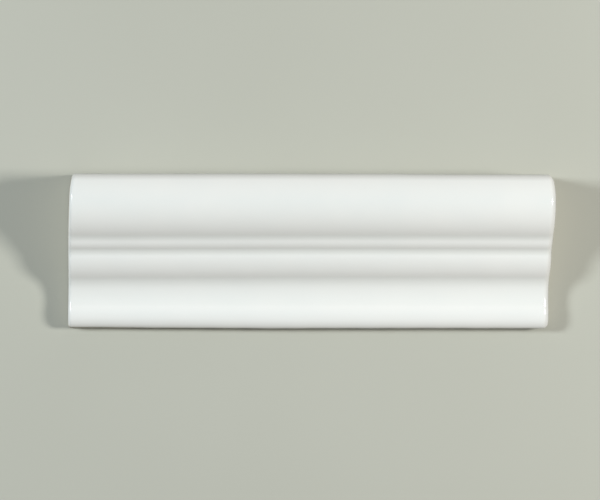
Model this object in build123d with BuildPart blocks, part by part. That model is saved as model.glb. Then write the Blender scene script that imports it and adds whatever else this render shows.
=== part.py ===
"""Ceramic dado moulding tile: one pressed, glazed piece with a hollow, keyed back.

Frame: X runs along the moulding, Y up the wall, Z out of the wall.  The back lies on Z = 0 and the
origin is the middle of the back's outline.  All sizes are in millimetres, all slopes in degrees.
"""
import os
from math import cos, radians, sin

from build123d import *

# Sizes of the tile as a whole
length = 150.0
edge_thickness = 7.0  # lower edge at the crest of the lip, the thickness of the field tiles it meets
end_rounding = 1.6  # glazed arris round each end face

# Radii of the moulded face, named from the lower edge upwards
edge_radius = 2.1
nose_radius = 4.8
lip_radius = 9.4
apron_radius = 14.5
cove_radius = 7.1
ovolo_radius = 11.5
lower_quirk_radius = 3.9
listel_radius = 5.7
upper_quirk_radius = 6.4
torus_radius = 13.6
arris_radius = 3.6

# Slopes against the wall where one member of the face runs into the next, falling back where negative
nose_foot_slope = 40.0
nose_top_slope = 12.0
apron_foot_slope = -10.0
cove_foot_slope = 15.0
ovolo_foot_slope = 48.0
ovolo_top_slope = 10.0
listel_foot_slope = 48.0
listel_top_slope = 24.0
torus_foot_slope = 49.0
shoulder_slope = -29.0

# Hollow back: a row of pockets behind the torus, with flush ribs between them
pocket_count = 3
pocket_width = 16.5
pocket_depth = 9.5
pocket_corner = 5.0
pocket_draft = 15.0
pocket_roof_rounding = 1.5
rib_thickness = 4.0
end_rim = 6.5
top_rim = 6.4

# Key grooves pressed into the lower part of the back
groove_count = 2
groove_width = 3.0
groove_depth = 0.8
groove_pitch = 7.0
groove_draft = 30.0
groove_end_rim = 7.0
bottom_rim = 6.5

# Members of the face: radius, and slope at the upper end
members = [
    (edge_radius, nose_foot_slope),
    (nose_radius, nose_top_slope),
    (lip_radius, apron_foot_slope),
    (apron_radius, cove_foot_slope),
    (cove_radius, ovolo_foot_slope),
    (ovolo_radius, ovolo_top_slope),
    (lower_quirk_radius, listel_foot_slope),
    (listel_radius, listel_top_slope),
    (upper_quirk_radius, torus_foot_slope),
    (torus_radius, shoulder_slope),
    (arris_radius, -90.0),
]


def rise(radius, slope_a, slope_b):
    """Projection from the wall that an arc gains or loses between two slopes."""
    return radius * abs(cos(radians(slope_a)) - cos(radians(slope_b)))


# Height of the tile: the sum of what its members take up on the wall
height = 0.0
slope = 90.0
for radius, next_slope in members:
    height += radius * abs(sin(radians(slope)) - sin(radians(next_slope)))
    slope = next_slope
bottom = -height / 2
top = height / 2

# Flat of the lower edge, below the rounding that leads up to the crest of the lip
edge_flat = (
    edge_thickness
    - rise(edge_radius, 90.0, nose_foot_slope)
    - rise(nose_radius, nose_foot_slope, nose_top_slope)
    - rise(lip_radius, nose_top_slope, 0.0)
)

pocket_length = (length - 2 * end_rim - (pocket_count - 1) * rib_thickness) / pocket_count
groove_length = length - 2 * groove_end_rim

with BuildPart() as tile:
    # Section: a chain of tangent arcs from the lower edge to the upper edge
    with BuildSketch(Plane.YZ) as section:
        with BuildLine():
            lower_edge = Line((bottom, 0), (bottom, edge_flat))
            member = lower_edge
            slope = 90.0
            for radius, next_slope in members:
                member = JernArc(member @ 1, member % 1, radius, next_slope - slope)
                slope = next_slope
            upper_edge = Line(member @ 1, (top, 0))
            Line(upper_edge @ 1, lower_edge @ 0)
        make_face()
    extrude(amount=length / 2, both=True)

    # Rounded arris round both end faces, open at the back
    end_edges = tile.faces().filter_by(Axis.X).edges().filter_by(lambda edge: edge.center().Z > 0.1)
    fillet(end_edges, radius=end_rounding)

    # Pockets that keep the wall behind the torus from firing too thick
    with BuildSketch(Plane.XY):
        with Locations((0, top - top_rim - pocket_width / 2)):
            with GridLocations(pocket_length + rib_thickness, 0, pocket_count, 1):
                RectangleRounded(pocket_length, pocket_width, pocket_corner)
    extrude(amount=pocket_depth, taper=pocket_draft, mode=Mode.SUBTRACT)
    roof_edges = tile.edges().filter_by_position(Axis.Z, pocket_depth - 0.01, pocket_depth + 0.01)
    fillet(roof_edges.filter_by(Plane.XY), radius=pocket_roof_rounding)

    # Key grooves for the adhesive
    with BuildSketch(Plane.XY):
        with Locations((0, bottom + bottom_rim + (groove_width + groove_pitch) / 2)):
            with GridLocations(0, groove_pitch, 1, groove_count):
                SlotOverall(groove_length, groove_width)
    extrude(amount=groove_depth, taper=groove_draft, mode=Mode.SUBTRACT)

tile.part.label = "moulding_tile"
os.makedirs("parts", exist_ok=True)
export_step(tile.part, "parts/moulding_tile.step")
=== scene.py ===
import math

import bpy
import numpy as np
from mathutils import Matrix, Vector


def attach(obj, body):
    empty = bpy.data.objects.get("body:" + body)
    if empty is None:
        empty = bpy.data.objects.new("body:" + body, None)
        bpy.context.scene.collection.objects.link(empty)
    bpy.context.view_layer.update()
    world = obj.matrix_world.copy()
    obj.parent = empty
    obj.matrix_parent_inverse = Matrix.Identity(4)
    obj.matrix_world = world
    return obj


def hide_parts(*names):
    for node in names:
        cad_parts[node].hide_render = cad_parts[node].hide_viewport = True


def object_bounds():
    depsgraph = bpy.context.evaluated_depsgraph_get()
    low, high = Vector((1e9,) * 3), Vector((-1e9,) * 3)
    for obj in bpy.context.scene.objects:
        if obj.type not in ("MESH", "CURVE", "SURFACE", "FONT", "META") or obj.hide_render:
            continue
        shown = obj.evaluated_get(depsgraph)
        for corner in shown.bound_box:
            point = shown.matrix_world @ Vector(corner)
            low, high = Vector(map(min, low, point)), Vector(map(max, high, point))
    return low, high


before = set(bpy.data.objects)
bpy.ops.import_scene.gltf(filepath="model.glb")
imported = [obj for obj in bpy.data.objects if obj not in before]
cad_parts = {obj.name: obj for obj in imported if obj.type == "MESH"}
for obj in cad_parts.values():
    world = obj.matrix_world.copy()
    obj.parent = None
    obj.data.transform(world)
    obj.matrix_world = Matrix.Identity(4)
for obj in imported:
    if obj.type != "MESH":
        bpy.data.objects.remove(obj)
cad_low, cad_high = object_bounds()

MM = 0.001

# Sizes repeated from the part's source, in millimetres and degrees
EDGE_THICKNESS = 7.0
ARCS = [
    # Radius, and slope of the face at the upper end; where the slope rises, the arc is hollow
    (2.1, 40.0),  # edge
    (4.8, 12.0),  # nose
    (9.4, -10.0),  # lip
    (14.5, 15.0),  # apron
    (7.1, 48.0),  # cove
    (11.5, 10.0),  # ovolo
    (3.9, 48.0),  # lower quirk
    (5.7, 24.0),  # listel
    (6.4, 49.0),  # upper quirk
    (13.6, -29.0),  # torus
    (3.6, -90.0),  # arris of the upper edge
]
POCKETS = [-47.0, 0.0, 47.0]
POCKET_HALF = (21.5, 8.25)
POCKET_CORNER = 5.0
POCKET_DEPTH = 9.5
POCKET_DRAFT = math.tan(math.radians(15.0))
TOP_RIM = 6.4
GROOVE_HALF = (68.0, 1.5)
GROOVE_DEPTH = 0.8
GROOVE_DRAFT = math.tan(math.radians(30.0))
GROOVE_PITCH = 7.0
BOTTOM_RIM = 6.5

# Finish, in millimetres
END_ROUNDING = (1.1, 2.0)  # left, right
BACK_CHAMFER = 0.35
CHAMFER_BLEND = 2.0
POCKET_ROOF_BLEND = 1.6
GROOVE_ROOF_BLEND = 0.2
GLAZE_REACH = 1.7  # how far glaze runs down the ends and the lower edge
TOP_BARE = 4.5  # bare strip that is left along the upper edge

# Density of the mesh, in millimetres where not counts
ARC_STEP = 0.36
LEAST_ARC_STEPS = 5
END_RINGS = 9
PLAIN_STEP = 0.95
WALL_STEP = 0.3
WALL_ZONE = 2.6
LAST_STEP = 0.6
LEAST_STEP = 0.25
SIDE_ROWS = 16


def rising(value, start, span):
    """Ramp from 0 at the start to 1 at the end of the span."""
    return np.clip((value - start) / span, 0, 1)


def fading(distance, reach):
    """Ramp from 1 at no distance to 0 at the reach."""
    return np.clip(1 - distance / reach, 0, 1)


# Section of the face

def section():
    """Points, outward normals and bend (1/mm, positive where hollow) from the lower to the upper edge."""
    points = [(0.0, 0.0)]
    slopes = [90.0]
    bends = [-1 / ARCS[0][0]]
    for radius, end in ARCS:
        y, z = points[-1]
        start = slopes[-1]
        side = -1.0 if end > start else 1.0
        count = max(LEAST_ARC_STEPS, math.ceil(radius * math.radians(abs(end - start)) / ARC_STEP))
        a = math.radians(start)
        for slope in np.linspace(start, end, count + 1)[1:]:
            b = math.radians(slope)
            points.append((y + side * radius * (math.sin(a) - math.sin(b)),
                           z + side * radius * (math.cos(b) - math.cos(a))))
            slopes.append(slope)
            bends.append(-side / radius)
    points = np.array(points)
    turn = np.radians(slopes)
    points[:, 0] -= points[-1, 0] / 2
    points[:, 1] += EDGE_THICKNESS - points[np.argmax(turn < 0), 1]
    return points, np.stack([-np.sin(turn), np.cos(turn)], 1), np.array(bends)


profile, normals, bends = section()
half_height = profile[-1, 0]
half_length = float(cad_high.x) / MM


# Back of the tile: pockets behind the torus and grooves below them

def inside_distance(x, y, centre, half, corner):
    """Distance inside a rounded rectangle, negative outside."""
    qx = np.abs(x - centre[0]) - (half[0] - corner)
    qy = np.abs(y - centre[1]) - (half[1] - corner)
    outside = np.hypot(np.maximum(qx, 0), np.maximum(qy, 0))
    return corner - outside - np.minimum(np.maximum(qx, qy), 0)


def pressed(distance, draft, depth, blend):
    """Depth of a drafted recess with a rounded roof."""
    wall = np.maximum(distance, 0) / draft
    mix = np.clip(0.5 + 0.5 * (depth - wall) / blend, 0, 1)
    return np.maximum(depth * (1 - mix) + wall * mix - blend * mix * (1 - mix), 0)


def back_height(x, y):
    """Height of the back above the plane that it lies on."""
    z = np.zeros_like(x)
    middle = half_height - TOP_RIM - POCKET_HALF[1]
    for centre in POCKETS:
        inner = inside_distance(x, y, (centre, middle), POCKET_HALF, POCKET_CORNER)
        z = np.maximum(z, pressed(inner, POCKET_DRAFT, POCKET_DEPTH, POCKET_ROOF_BLEND))
    first = -half_height + BOTTOM_RIM + GROOVE_HALF[1]
    for centre in (first, first + GROOVE_PITCH):
        inner = inside_distance(x, y, (0.0, centre), GROOVE_HALF, GROOVE_HALF[1])
        z = np.maximum(z, pressed(inner, GROOVE_DRAFT, GROOVE_DEPTH, GROOVE_ROOF_BLEND))
    return z


def drawn_in(value, low, high):
    """Places across the back, with the outermost ones moved inwards by the width of the chamfer."""
    return value + BACK_CHAMFER * (fading(value - low, CHAMFER_BLEND) - fading(high - value, CHAMFER_BLEND))


# Points of the tile on a grid: along the tile, up the face, and from the back to the face

def stations():
    """Places along the tile and the inset of the face there, closer at the ends and the pocket walls."""
    left, right = END_ROUNDING
    turns = np.radians(np.linspace(90, 0, END_RINGS))
    rings = [(-half_length + left * (1 - math.sin(turn)), left * (1 - math.cos(turn))) for turn in turns]
    walls = [centre + side * POCKET_HALF[0] for centre in POCKETS for side in (-1, 1)]
    x = -half_length + left
    stop = half_length - right
    while x < stop - LAST_STEP:
        near = min(abs(x - wall) for wall in walls)
        x += WALL_STEP if near < WALL_ZONE else PLAIN_STEP
        if x < stop - LEAST_STEP:
            rings.append((x, 0.0))
    for turn in turns[::-1]:
        rings.append((half_length - right * (1 - math.sin(turn)), right * (1 - math.cos(turn))))
    return np.array(rings)


def true_points(rings):
    """The tile without its unevenness: the back is layer 0, a small chamfer layer 1, the face the last."""
    layers = SIDE_ROWS + 1
    inset = rings[:, 1:]
    x = np.repeat(rings[:, :1], len(profile), 1)
    y = profile[None, :, 0] - inset * normals[None, :, 0]
    z = profile[None, :, 1] - inset * normals[None, :, 1]
    share = np.concatenate([[0.0], np.linspace(0, 1, SIDE_ROWS)])
    place = np.zeros((*x.shape, layers, 3))
    place[..., 0] = x[..., None]
    place[..., 1] = y[..., None]
    place[..., 2] = BACK_CHAMFER + (z[..., None] - BACK_CHAMFER) * share
    place[:, :, 0, 0] = drawn_in(x, -half_length, half_length)
    place[:, :, 0, 1] = drawn_in(y, y[:, :1], y[:, -1:])
    place[:, :, 0, 2] = back_height(place[:, :, 0, 0], place[:, :, 0, 1])
    return place


def glaze_and_shade_measures(place, inset):
    """Where the glaze lies, and where shade is painted, as point attributes for the material."""
    # Height above the glaze line in mm, kept within the limit: glaze covers the face and none of the back
    limit = 6.0
    face_z = place[:, :, -1:, 2]
    near_top = rising(place[..., 1], half_height - 2.6, 2.2) ** 2
    reach = GLAZE_REACH + near_top * (face_z - GLAZE_REACH - TOP_BARE)
    skin = np.minimum(reach - (face_z - place[..., 2]), limit)
    skin[:, :, 0] = -limit
    skin[:, :, -1] = limit

    # Painted shade, as attributes for the material: darker glaze in the hollows, a warmer tint on the steep
    # faces for the warm tone of their shade, and darker glaze over the upper arris and the right end rim
    window = np.hanning(11)[1:-1]
    bend = np.convolve(np.pad(bends, 4, "edge"), window / window.sum(), "valid")
    # Painted shade: darker glaze in the hollows
    hollow_shade = np.broadcast_to(rising(bend, 0, 1 / 6)[None, :, None], skin.shape)
    # Painted shade: warm tint on the steep faces
    steep_shade = np.broadcast_to(np.abs(normals[None, :, :1]), skin.shape)
    # Painted shade: darker glaze over the upper arris and the right end rim
    arris = np.where(normals[:, 0] > 0, rising(-bend, 0.12, 0.75), 0)
    right_rim = np.where(place[:, :, -1, 0] > 0, rising(inset, 0, 1.4), 0)
    rim_shade = np.zeros_like(skin)
    rim_shade[..., -1] = np.maximum(arris[None, :], right_rim)
    return {"skin": skin, "hollow_shade": hollow_shade, "steep_shade": steep_shade, "rim_shade": rim_shade}


def waves(x, y, seed, length, count=7):
    """Smooth seeded unevenness of about unit size."""
    dice = np.random.default_rng(seed)
    total = np.zeros_like(x)
    for _ in range(count):
        angle, phase = dice.uniform(0, 2 * math.pi, 2)
        k = 2 * math.pi / (length * dice.uniform(0.7, 1.5))
        total += np.sin(k * (x * math.cos(angle) + y * math.sin(angle)) + phase)
    return total / math.sqrt(count / 2)


def fired(place):
    """The tile with the unevenness that it took on in the kiln."""
    x, y, z = np.moveaxis(place, -1, 0)
    moved = place.copy()
    # The left end leans in towards the top and dishes a little lower down
    lean = 0.55 * rising(y, 6.0, 17.0) ** 1.5 + 0.12 * fading(np.abs(y + 10.0), 10.0)
    moved[..., 0] += lean * fading(x + half_length, 22.0) ** 2
    # Both upper corners are drawn in
    corner = 0.6 * rising(y, 16.5, 7.0) ** 2
    moved[..., 0] -= corner * np.sign(x) * fading(half_length - np.abs(x), 12.0) ** 2
    # The face twists towards the left end
    twist = 0.025 * rising(x, 30.0, -95.0)
    moved[..., 2] += twist * y * rising(z, 0.0, 5.0)
    # The glaze that ran down swells the lower edge, which draws back towards the left end
    swell = 0.16 - 0.6 * rising(x, -10.0, -60.0)
    moved[..., 1] -= swell * rising(y, -13.0, -9.0) * rising(z, 0.0, 2.0)
    # The long edges wander a little
    moved[..., 1] += 0.05 * waves(x, np.zeros_like(x), 11, 120.0) * rising(z, 0.0, 4.0)
    # The glaze surface is softly uneven
    glaze = 0.010 * waves(x, y, 23, 11.0) + 0.018 * waves(x, y, 29, 38.0)
    moved[:, :, -1, 1:] += normals[None] * glaze[:, :, -1, None]
    return moved


def skin_faces(shape):
    """Which grid points lie on the surface, and the faces between them."""
    on = np.zeros(shape, bool)
    on[[0, -1]] = True
    on[:, [0, -1]] = True
    on[:, :, [0, -1]] = True
    number = np.full(shape, -1)
    number[on] = np.arange(on.sum())

    def quads(grid, flip):
        a, b, c, d = grid[:-1, :-1], grid[1:, :-1], grid[1:, 1:], grid[:-1, 1:]
        order = (a, d, c, b) if flip else (a, b, c, d)
        return np.stack([vertex.ravel() for vertex in order], 1)

    faces = np.concatenate([
        quads(number[:, :, -1], False),
        quads(number[:, :, 0], True),
        quads(number[:, 0, :], False),
        quads(number[:, -1, :], True),
        quads(number[0], True),
        quads(number[-1], False),
    ])
    return on, faces


def build_tile():
    rings = stations()
    place = true_points(rings)
    measures = glaze_and_shade_measures(place, rings[:, 1:])
    on, faces = skin_faces(place.shape[:3])
    mesh = bpy.data.meshes.new("glazed_tile")
    mesh.from_pydata((fired(place)[on] * MM).tolist(), [], faces.tolist())
    mesh.polygons.foreach_set("use_smooth", np.ones(len(faces), bool))
    mesh.set_sharp_from_angle(angle=math.radians(38))
    for name, values in measures.items():
        data = mesh.attributes.new(name, "FLOAT", "POINT").data
        data.foreach_set("value", values[on].astype(np.float32))
    mesh.validate()
    tile = bpy.data.objects.new("glazed_tile", mesh)
    bpy.context.scene.collection.objects.link(tile)
    return tile


# Materials, with colours as linear red, green and blue

GLAZE_WHITE = ((0.830, 0.862, 0.848), (0.863, 0.882, 0.862))
# Painted light: whiter glaze for the lower field, where the light is brighter
GLAZE_LOWER_LIGHT = (0.95, 0.965, 0.95)
# Painted shade: warm tint for the shaded steep faces
GLAZE_SHADE_WARM = (0.885, 0.874, 0.840)
# Painted shade: darker glaze for the hollows
GLAZE_HOLLOW_SHADE = (0.785, 0.81, 0.775)
# Painted shade: dark grey for the upper arris and the right end rim
GLAZE_RIM_SHADE = (0.50, 0.495, 0.475)
BISCUIT = ((0.60, 0.53, 0.43), (0.76, 0.70, 0.60))
BISCUIT_STAIN = (0.55, 0.48, 0.39)
FLOOR_SHOWN = ((0.50, 0.51, 0.45), (0.515, 0.525, 0.465))
FLOOR_LIGHTING = (0.36, 0.365, 0.325)


class Nodes:
    """Small helper that adds shader nodes to one material."""

    def __init__(self, name):
        self.material = bpy.data.materials.new(name)
        self.material.use_nodes = True
        self.tree = self.material.node_tree
        self.shader = self.tree.nodes["Principled BSDF"]
        self.coords = self.tree.nodes.new("ShaderNodeTexCoord").outputs["Object"]

    def link(self, source, target):
        self.tree.links.new(source, target)

    def put(self, socket, value):
        if isinstance(value, bpy.types.NodeSocket):
            self.link(value, socket)
        else:
            socket.default_value = value

    def noise(self, scale, detail=3.0, rough=0.55):
        node = self.tree.nodes.new("ShaderNodeTexNoise")
        node.inputs["Scale"].default_value = scale
        node.inputs["Detail"].default_value = detail
        node.inputs["Roughness"].default_value = rough
        self.link(self.coords, node.inputs["Vector"])
        return node.outputs["Fac"]

    def along(self, axis):
        node = self.tree.nodes.new("ShaderNodeSeparateXYZ")
        self.link(self.coords, node.inputs[0])
        return node.outputs[axis]

    def attribute(self, name):
        node = self.tree.nodes.new("ShaderNodeAttribute")
        node.attribute_name = name
        return node.outputs["Fac"]

    def span(self, value, low, high, out_low=0.0, out_high=1.0):
        node = self.tree.nodes.new("ShaderNodeMapRange")
        self.put(node.inputs["Value"], value)
        node.inputs["From Min"].default_value = low
        node.inputs["From Max"].default_value = high
        node.inputs["To Min"].default_value = out_low
        node.inputs["To Max"].default_value = out_high
        return node.outputs["Result"]

    def math(self, operation, a, b):
        node = self.tree.nodes.new("ShaderNodeMath")
        node.operation = operation
        self.put(node.inputs[0], a)
        self.put(node.inputs[1], b)
        return node.outputs[0]

    def times(self, a, b):
        return self.math("MULTIPLY", a, b)

    def mix(self, factor, a, b):
        node = self.tree.nodes.new("ShaderNodeMix")
        node.data_type = "RGBA"
        self.put(node.inputs["Factor"], factor)
        self.put(node.inputs["A"], (*a, 1.0) if isinstance(a, tuple) else a)
        self.put(node.inputs["B"], (*b, 1.0) if isinstance(b, tuple) else b)
        return node.outputs["Result"]

    def blend(self, factor, a, b):
        node = self.tree.nodes.new("ShaderNodeMix")
        node.data_type = "FLOAT"
        self.put(node.inputs["Factor"], factor)
        self.put(node.inputs["A"], a)
        self.put(node.inputs["B"], b)
        return node.outputs["Result"]

    def bump(self, height, distance, normal=None):
        node = self.tree.nodes.new("ShaderNodeBump")
        node.inputs["Strength"].default_value = 1.0
        node.inputs["Distance"].default_value = distance
        self.link(height, node.inputs["Height"])
        if normal is not None:
            self.link(normal, node.inputs["Normal"])
        return node.outputs["Normal"]


def ceramic():
    n = Nodes("glazed_ceramic")
    # The glaze ends in a ragged line
    ragged = n.times(n.math("SUBTRACT", n.noise(330.0, 4.0), 0.5), 2.6)
    glazed = n.span(n.math("ADD", n.attribute("skin"), ragged), -0.12, 0.12)
    # Glaze: white, a little uneven, with painted shade: warmer on the steep faces, darker in the hollows
    # and darker over the upper arris and right end rim
    cloud = n.span(n.noise(55.0, 2.0), 0.3, 0.7)
    white = n.mix(cloud, *GLAZE_WHITE)
    # Painted light: whiter towards the lower edge, standing in for the brighter light on the lower field
    lower_light = n.span(n.along("Y"), 0.010, -0.016, 0.0, 0.35)
    white = n.mix(lower_light, white, GLAZE_LOWER_LIGHT)
    glaze = n.mix(n.attribute("steep_shade"), white, GLAZE_SHADE_WARM)
    glaze = n.mix(n.times(n.attribute("hollow_shade"), 0.5), glaze, GLAZE_HOLLOW_SHADE)
    glaze = n.mix(n.times(n.attribute("rim_shade"), 0.9), glaze, GLAZE_RIM_SHADE)
    # Bare body: pale buff biscuit with a fine grain
    grain = n.span(n.noise(1900.0, 4.0, 0.7), 0.32, 0.68)
    stain = n.span(n.noise(70.0, 3.0), 0.35, 0.75)
    body = n.mix(n.times(stain, 0.35), n.mix(grain, *BISCUIT), BISCUIT_STAIN)
    n.link(n.mix(glazed, body, glaze), n.shader.inputs["Base Color"])
    # Gloss on the glaze, none on the body
    gloss = n.span(n.noise(140.0, 3.0), 0.3, 0.7, 0.08, 0.14)
    dull = n.span(grain, 0.0, 1.0, 0.95, 0.78)
    n.link(n.blend(glazed, dull, gloss), n.shader.inputs["Roughness"])
    n.shader.inputs["IOR"].default_value = 1.5
    # Fine ripple of the glaze, grain of the body, and the step between the two
    ripple = n.times(n.noise(230.0, 1.0), glazed)
    coarse = n.times(n.math("SUBTRACT", 1.0, glazed), n.noise(1300.0, 5.0, 0.75))
    normal = n.bump(ripple, 0.01 * MM)
    normal = n.bump(coarse, 0.25 * MM, normal)
    normal = n.bump(glazed, 0.12 * MM, normal)
    n.link(normal, n.shader.inputs["Normal"])
    return n.material


def ground():
    n = Nodes("studio_floor")
    tone = n.span(n.noise(9.0, 2.0), 0.3, 0.7)
    # Pale where it is seen, but a weaker reflector, as the tile gets little light from below
    ray = n.tree.nodes.new("ShaderNodeLightPath").outputs
    mirrored = n.math("MAXIMUM", ray["Is Glossy Ray"], ray["Is Transmission Ray"])
    seen = n.math("MAXIMUM", ray["Is Camera Ray"], mirrored)
    n.link(n.mix(seen, FLOOR_LIGHTING, n.mix(tone, *FLOOR_SHOWN)), n.shader.inputs["Base Color"])
    n.shader.inputs["Roughness"].default_value = 0.9
    n.shader.inputs["Specular IOR Level"].default_value = 0.1
    return n.material


# The piece

tile = build_tile()
tile.data.materials.append(ceramic())
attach(tile, "root")
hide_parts("moulding_tile")

# Floor, lamps, world and camera, in metres and watts

FLOOR_HALF = 4.0
FLOOR_Z = -0.0002
FLOOR_SIDES = [(-1, -1), (1, -1), (1, 1), (-1, 1)]
LAMPS = [
    # Name, place, width, power and colour
    ("lamp_left", (-0.625, 0.122, 0.569), 0.18, 4.48, (0.935, 0.985, 1.01)),
    ("fill_left", (-0.53, 0.0, 0.09), 0.30, 0.14, (0.97, 1.0, 1.0)),
    ("lamp_right", (0.546, 0.033, 0.497), 0.16, 4.16, (1.005, 0.985, 0.945)),
]
WORLD_COLOUR = (0.97, 1.0, 1.0, 1.0)
WORLD_STRENGTH = 0.09
CAMERA_PLACE = Vector((-0.0820, 0.00044, 0.9997))
CAMERA_AIM = Vector((-0.0032, 0.00044, 0.007))
CAMERA_LENS = 192.4
CAMERA_SENSOR = 36.0

floor_mesh = bpy.data.meshes.new("floor")
corners = [(FLOOR_HALF * x, FLOOR_HALF * y, FLOOR_Z) for x, y in FLOOR_SIDES]
floor_mesh.from_pydata(corners, [], [(0, 1, 2, 3)])
floor_mesh.materials.append(ground())
floor = bpy.data.objects.new("floor", floor_mesh)
bpy.context.scene.collection.objects.link(floor)

for name, place, width, power, colour in LAMPS:
    light = bpy.data.lights.new(name, "AREA")
    light.shape = "DISK"
    light.size = width
    light.energy = power
    light.color = colour
    lamp = bpy.data.objects.new(name, light)
    lamp.location = place
    lamp.rotation_euler = (-Vector(place)).to_track_quat("-Z", "Y").to_euler()
    bpy.context.scene.collection.objects.link(lamp)

world = bpy.data.worlds.new("studio")
world.use_nodes = True
sky = world.node_tree.nodes["Background"]
sky.inputs["Color"].default_value = WORLD_COLOUR
sky.inputs["Strength"].default_value = WORLD_STRENGTH
bpy.context.scene.world = world

camera_data = bpy.data.cameras.new("camera")
camera_data.sensor_width = CAMERA_SENSOR
camera_data.lens = CAMERA_LENS
camera_data.clip_start = 0.01
camera_data.clip_end = 20.0
camera = bpy.data.objects.new("camera", camera_data)
camera.location = CAMERA_PLACE
# Level camera: its upright lies along Y
back = (CAMERA_PLACE - CAMERA_AIM).normalized()
right = Vector((0.0, 1.0, 0.0)).cross(back).normalized()
camera.rotation_euler = Matrix((right, back.cross(right), back)).transposed().to_euler()
bpy.context.scene.collection.objects.link(camera)
bpy.context.scene.camera = camera

bpy.context.scene.view_settings.view_transform = "Standard"
